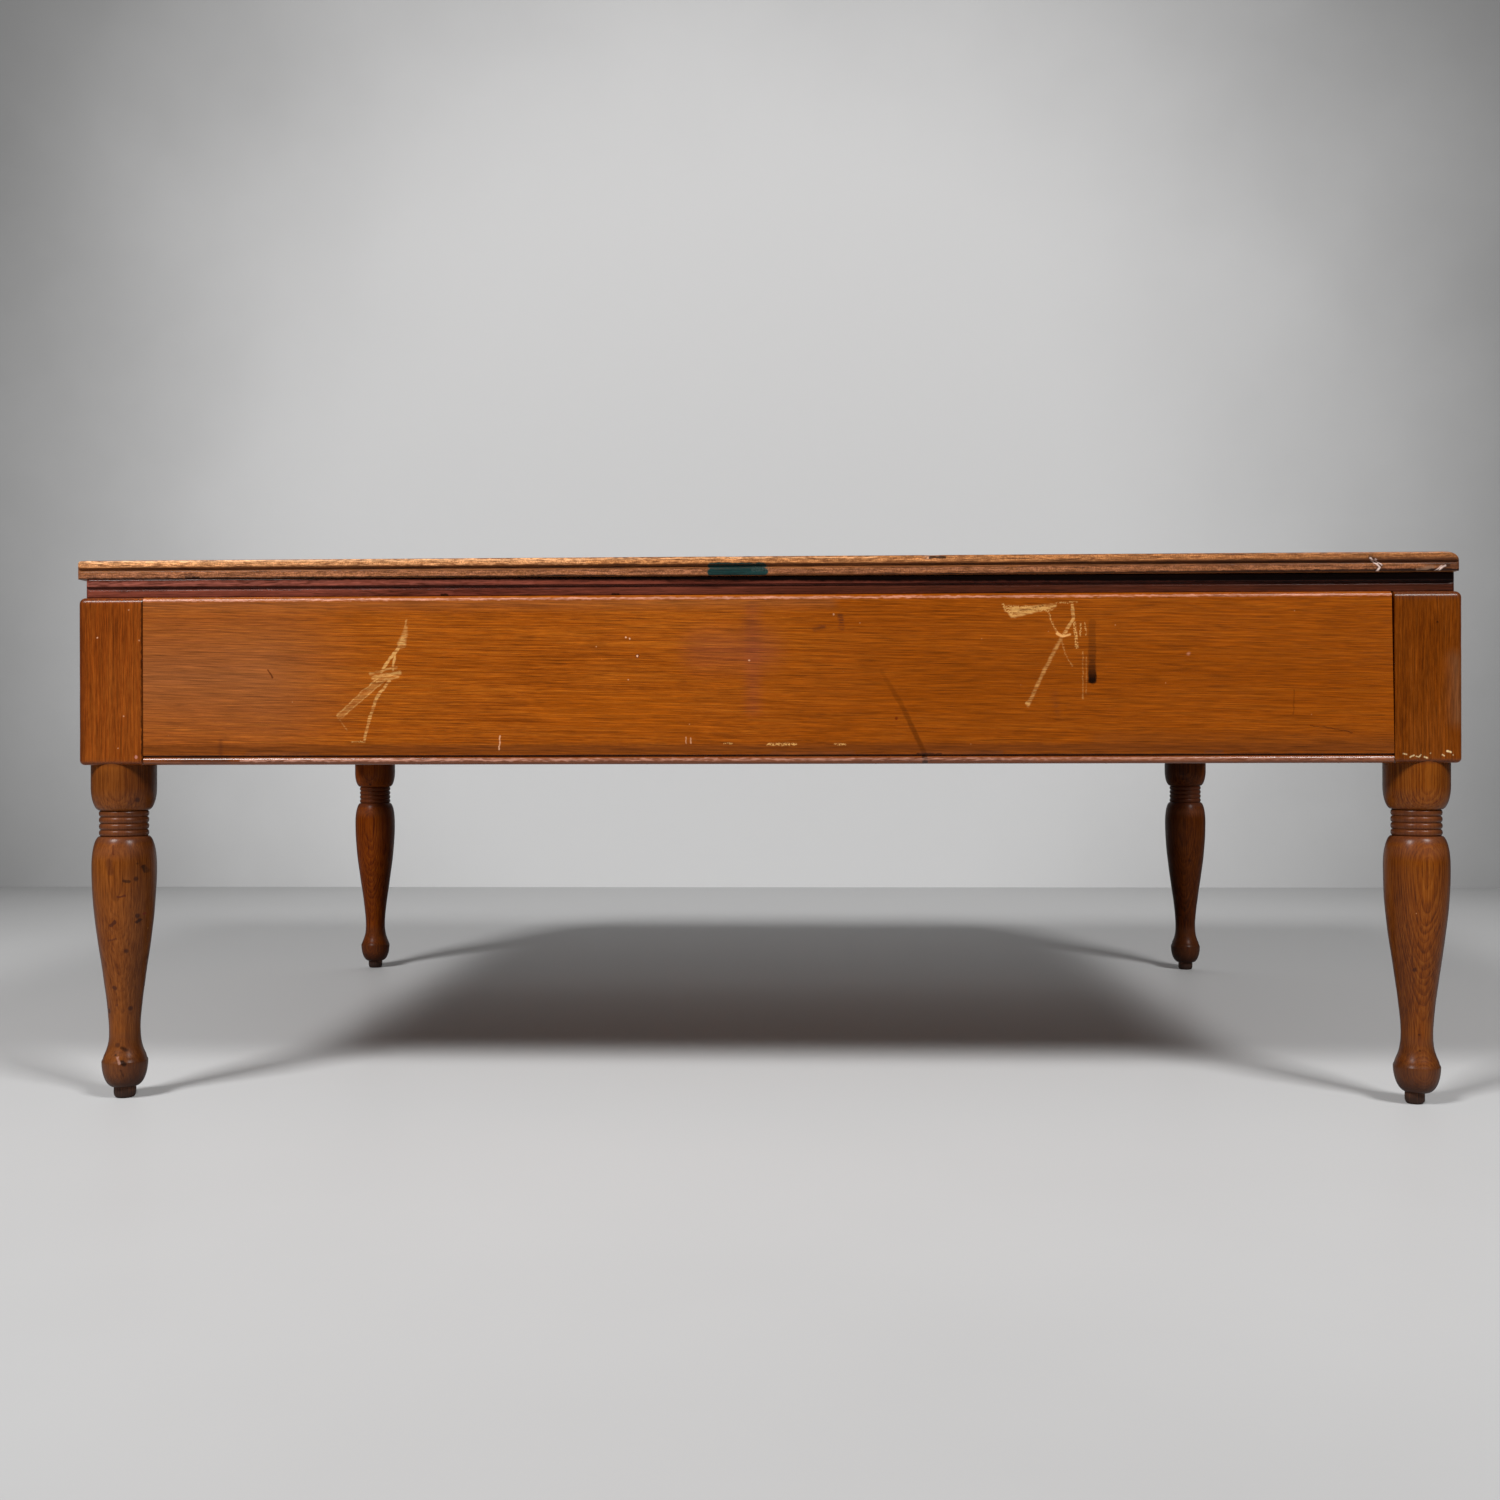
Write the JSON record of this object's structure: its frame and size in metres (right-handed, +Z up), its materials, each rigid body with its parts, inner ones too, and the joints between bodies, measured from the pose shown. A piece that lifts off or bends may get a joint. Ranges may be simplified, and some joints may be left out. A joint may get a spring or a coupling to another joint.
{
  "type": "communion table",
  "caption": "Low rectangular communion table: deep plain aprons between square leg blocks, turned tapering legs on ball feet, and a thin reed-edged top lying on a reed-edged frame.",
  "frame": {"origin": "on the floor, under the middle of the table", "axes": "+X along the table's length, +Y from the front to the rear, +Z up; the front faces -Y"},
  "size_m": [1.205, 0.9094, 0.477],
  "materials": {
    "leg_wood": "old shellac polish on stained hardwood, worn at the edges",
    "peg_wood": "bare, dirty, rubbed end of a turned peg",
    "apron_wood": "old shellac polish, satin to gloss, straight grain along the board",
    "bead_wood": "old shellac polish, rubbed pale along the bead",
    "frame_wood": "darker red-brown stain under old polish, open pores",
    "top_wood": "worn polish, upper reed rubbed to pale wood",
    "inner_wood": "sawn and planed, unpolished, darkened with age",
    "steel": "dull old steel"
  },
  "bodies": {
    "root": {"leg_front_left": "leg_wood", "leg_front_right": "leg_wood", "leg_rear_left": "leg_wood", "leg_rear_right": "leg_wood", "foot_peg_front_left": "peg_wood", "foot_peg_front_right": "peg_wood", "foot_peg_rear_left": "peg_wood", "foot_peg_rear_right": "peg_wood", "apron_front": "apron_wood", "apron_rear": "apron_wood", "apron_left": "apron_wood", "apron_right": "apron_wood", "bead_strip_front": "bead_wood", "bead_strip_rear": "bead_wood", "bead_strip_left": "bead_wood", "bead_strip_right": "bead_wood", "frame_rail_front": "frame_wood", "frame_rail_rear": "frame_wood", "frame_rail_left": "frame_wood", "frame_rail_right": "frame_wood", "bearer_left": "inner_wood", "bearer_right": "inner_wood", "top_board_1": "top_wood", "top_board_2": "top_wood", "top_board_3": "top_wood", "top_board_4": "top_wood", "top_board_5": "top_wood", "corner_brace_front_left": "inner_wood", "corner_brace_front_right": "inner_wood", "corner_brace_rear_left": "inner_wood", "corner_brace_rear_right": "inner_wood", "glue_blocks_front": "inner_wood", "glue_blocks_rear": "inner_wood", "glue_blocks_left": "inner_wood", "glue_blocks_right": "inner_wood", "top_screws": "steel", "brace_screws": "steel", "bead_pins": "steel"}
  },
  "joints": []
}
